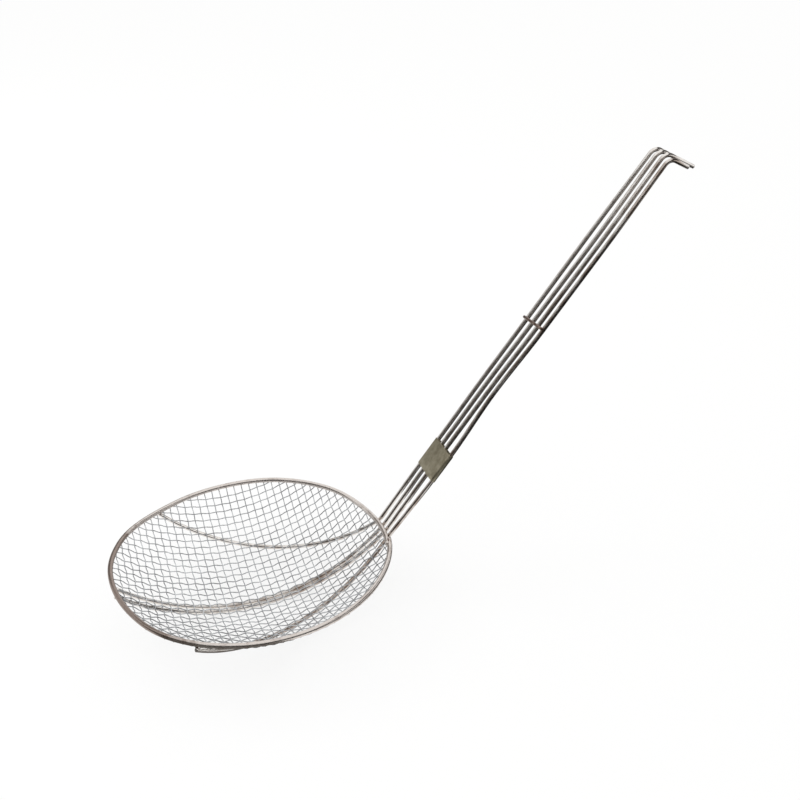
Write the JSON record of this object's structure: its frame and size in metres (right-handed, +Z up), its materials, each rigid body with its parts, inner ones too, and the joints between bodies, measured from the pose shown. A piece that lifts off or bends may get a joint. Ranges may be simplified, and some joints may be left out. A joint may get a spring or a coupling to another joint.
{
  "type": "skimmer",
  "caption": "Kitchen skimmer: a shallow bowl of woven wire mesh in a round rim, on a long handle of parallel wires that run under the bowl as ribs and end in a hook.",
  "frame": {"origin": "middle of the foot of the bounding box, level with the underside of the ribs at the bowl's lowest point", "axes": "+Z up, square to the rim's plane; +X towards the handle's hook; +Y across the handle"},
  "size_m": [0.4448, 0.203, 0.3001],
  "materials": {
    "rim_steel": "drawn round rod, satin",
    "frame_steel": "bright drawn wire",
    "mesh_steel": "fine woven wire, satin",
    "clip_steel": "dull rolled sheet",
    "brace_steel": "drawn wire, heat-tinted at its welds"
  },
  "bodies": {
    "root": {"rim": "rim_steel", "frame_wire_1": "frame_steel", "frame_wire_2": "frame_steel", "frame_wire_3": "frame_steel", "frame_wire_4": "frame_steel", "clip": "clip_steel", "cross_brace": "brace_steel", "mesh_warp_01": "mesh_steel", "mesh_warp_02": "mesh_steel", "mesh_warp_03": "mesh_steel", "mesh_warp_04": "mesh_steel", "mesh_warp_05": "mesh_steel", "mesh_warp_06": "mesh_steel", "mesh_warp_07": "mesh_steel", "mesh_warp_08": "mesh_steel", "mesh_warp_09": "mesh_steel", "mesh_warp_10": "mesh_steel", "mesh_warp_11": "mesh_steel", "mesh_warp_12": "mesh_steel", "mesh_warp_13": "mesh_steel", "mesh_warp_14": "mesh_steel", "mesh_warp_15": "mesh_steel", "mesh_warp_16": "mesh_steel", "mesh_warp_17": "mesh_steel", "mesh_warp_18": "mesh_steel", "mesh_warp_19": "mesh_steel", "mesh_warp_20": "mesh_steel", "mesh_warp_21": "mesh_steel", "mesh_warp_22": "mesh_steel", "mesh_warp_23": "mesh_steel", "mesh_warp_24": "mesh_steel", "mesh_warp_25": "mesh_steel", "mesh_warp_26": "mesh_steel", "mesh_weft_01": "mesh_steel", "mesh_weft_02": "mesh_steel", "mesh_weft_03": "mesh_steel", "mesh_weft_04": "mesh_steel", "mesh_weft_05": "mesh_steel", "mesh_weft_06": "mesh_steel", "mesh_weft_07": "mesh_steel", "mesh_weft_08": "mesh_steel", "mesh_weft_09": "mesh_steel", "mesh_weft_10": "mesh_steel", "mesh_weft_11": "mesh_steel", "mesh_weft_12": "mesh_steel", "mesh_weft_13": "mesh_steel", "mesh_weft_14": "mesh_steel", "mesh_weft_15": "mesh_steel", "mesh_weft_16": "mesh_steel", "mesh_weft_17": "mesh_steel", "mesh_weft_18": "mesh_steel", "mesh_weft_19": "mesh_steel", "mesh_weft_20": "mesh_steel", "mesh_weft_21": "mesh_steel", "mesh_weft_22": "mesh_steel", "mesh_weft_23": "mesh_steel", "mesh_weft_24": "mesh_steel", "mesh_weft_25": "mesh_steel", "mesh_weft_26": "mesh_steel"}
  },
  "joints": []
}
